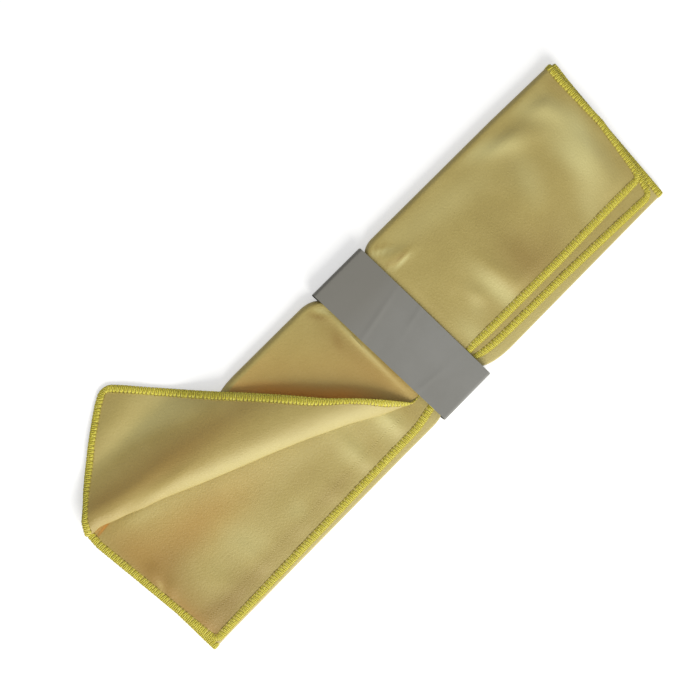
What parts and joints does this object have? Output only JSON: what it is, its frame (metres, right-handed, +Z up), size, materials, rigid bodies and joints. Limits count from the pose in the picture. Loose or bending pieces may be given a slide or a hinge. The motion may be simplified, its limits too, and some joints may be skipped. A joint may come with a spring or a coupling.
{
  "type": "folded microfibre cloth",
  "caption": "Microfibre cleaning cloth with overlocked edges, folded to a long strip inside a paper belly band, with one corner of its top layer turned back.",
  "frame": {"origin": "under the middle of the paper band, on the surface that the cloth lies on", "axes": "+X along the folded strip towards its plain end, +Y towards the double fold, +Z up"},
  "size_m": [0.3972, 0.1593, 0.0159],
  "materials": {
    "cloth": "satin suede microfibre",
    "thread": "bright polyester overlock thread",
    "paper": "matt grey paper",
    "glue": "dry paper glue"
  },
  "bodies": {
    "cloth": {"cloth_sheet": "cloth", "upper_looper_thread": "thread", "lower_looper_thread": "thread", "needle_thread": "thread"},
    "corner": {"corner_flap": "cloth", "corner_upper_looper_thread": "thread", "corner_lower_looper_thread": "thread", "corner_needle_thread": "thread"},
    "band": {"paper_band": "paper", "band_glue": "glue"}
  },
  "joints": [
    {"name": "band_slide", "type": "slide", "parent": "cloth", "child": "band", "axis": [1, 0, 0], "range_m": [0, 0.206]},
    {"name": "corner_fold", "type": "hinge", "parent": "cloth", "child": "corner", "pos_m": [-0.1196, 0.0035, 0.0122], "axis": [0.9095, -0.4158, 0], "range_deg": [0, 178]}
  ]
}
